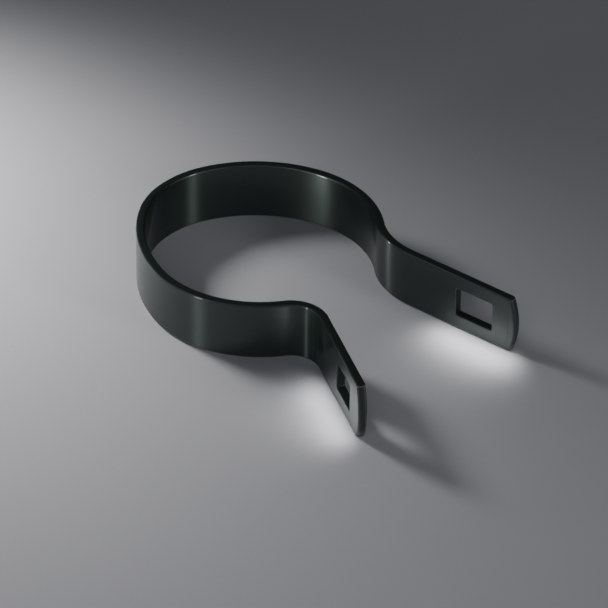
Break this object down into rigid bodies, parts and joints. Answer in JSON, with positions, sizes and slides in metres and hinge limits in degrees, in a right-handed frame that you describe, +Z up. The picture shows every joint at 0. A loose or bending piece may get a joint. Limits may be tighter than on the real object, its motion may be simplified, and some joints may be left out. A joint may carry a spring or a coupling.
{
  "type": "hose clamp",
  "caption": "Open ring of flat gloss black steel strip with straight ears, each with a rectangular bolt hole, drawn together to grip a pipe or hose.",
  "frame": {"origin": "centre of the overall box in plan, on the plane that the strip's lower edge stands on", "axes": "+X from the back of the ring out through the mouth between the ears; +Y to the left ear; +Z up, along the strip's width and the ring's axis"},
  "size_m": [0.135, 0.0874, 0.0222],
  "materials": {
    "strap_coat": "gloss black coating over steel strip"
  },
  "bodies": {
    "left_side": {"left_half_strap": "strap_coat"},
    "right_side": {"right_half_strap": "strap_coat"}
  },
  "joints": [
    {"name": "ring_flex", "type": "hinge", "parent": "left_side", "child": "right_side", "pos_m": [-0.06429, -0.00119, 0.0111], "axis": [0, 0, 1], "range_deg": [-10, 24], "stiffness_Nm_per_rad": 134}
  ]
}
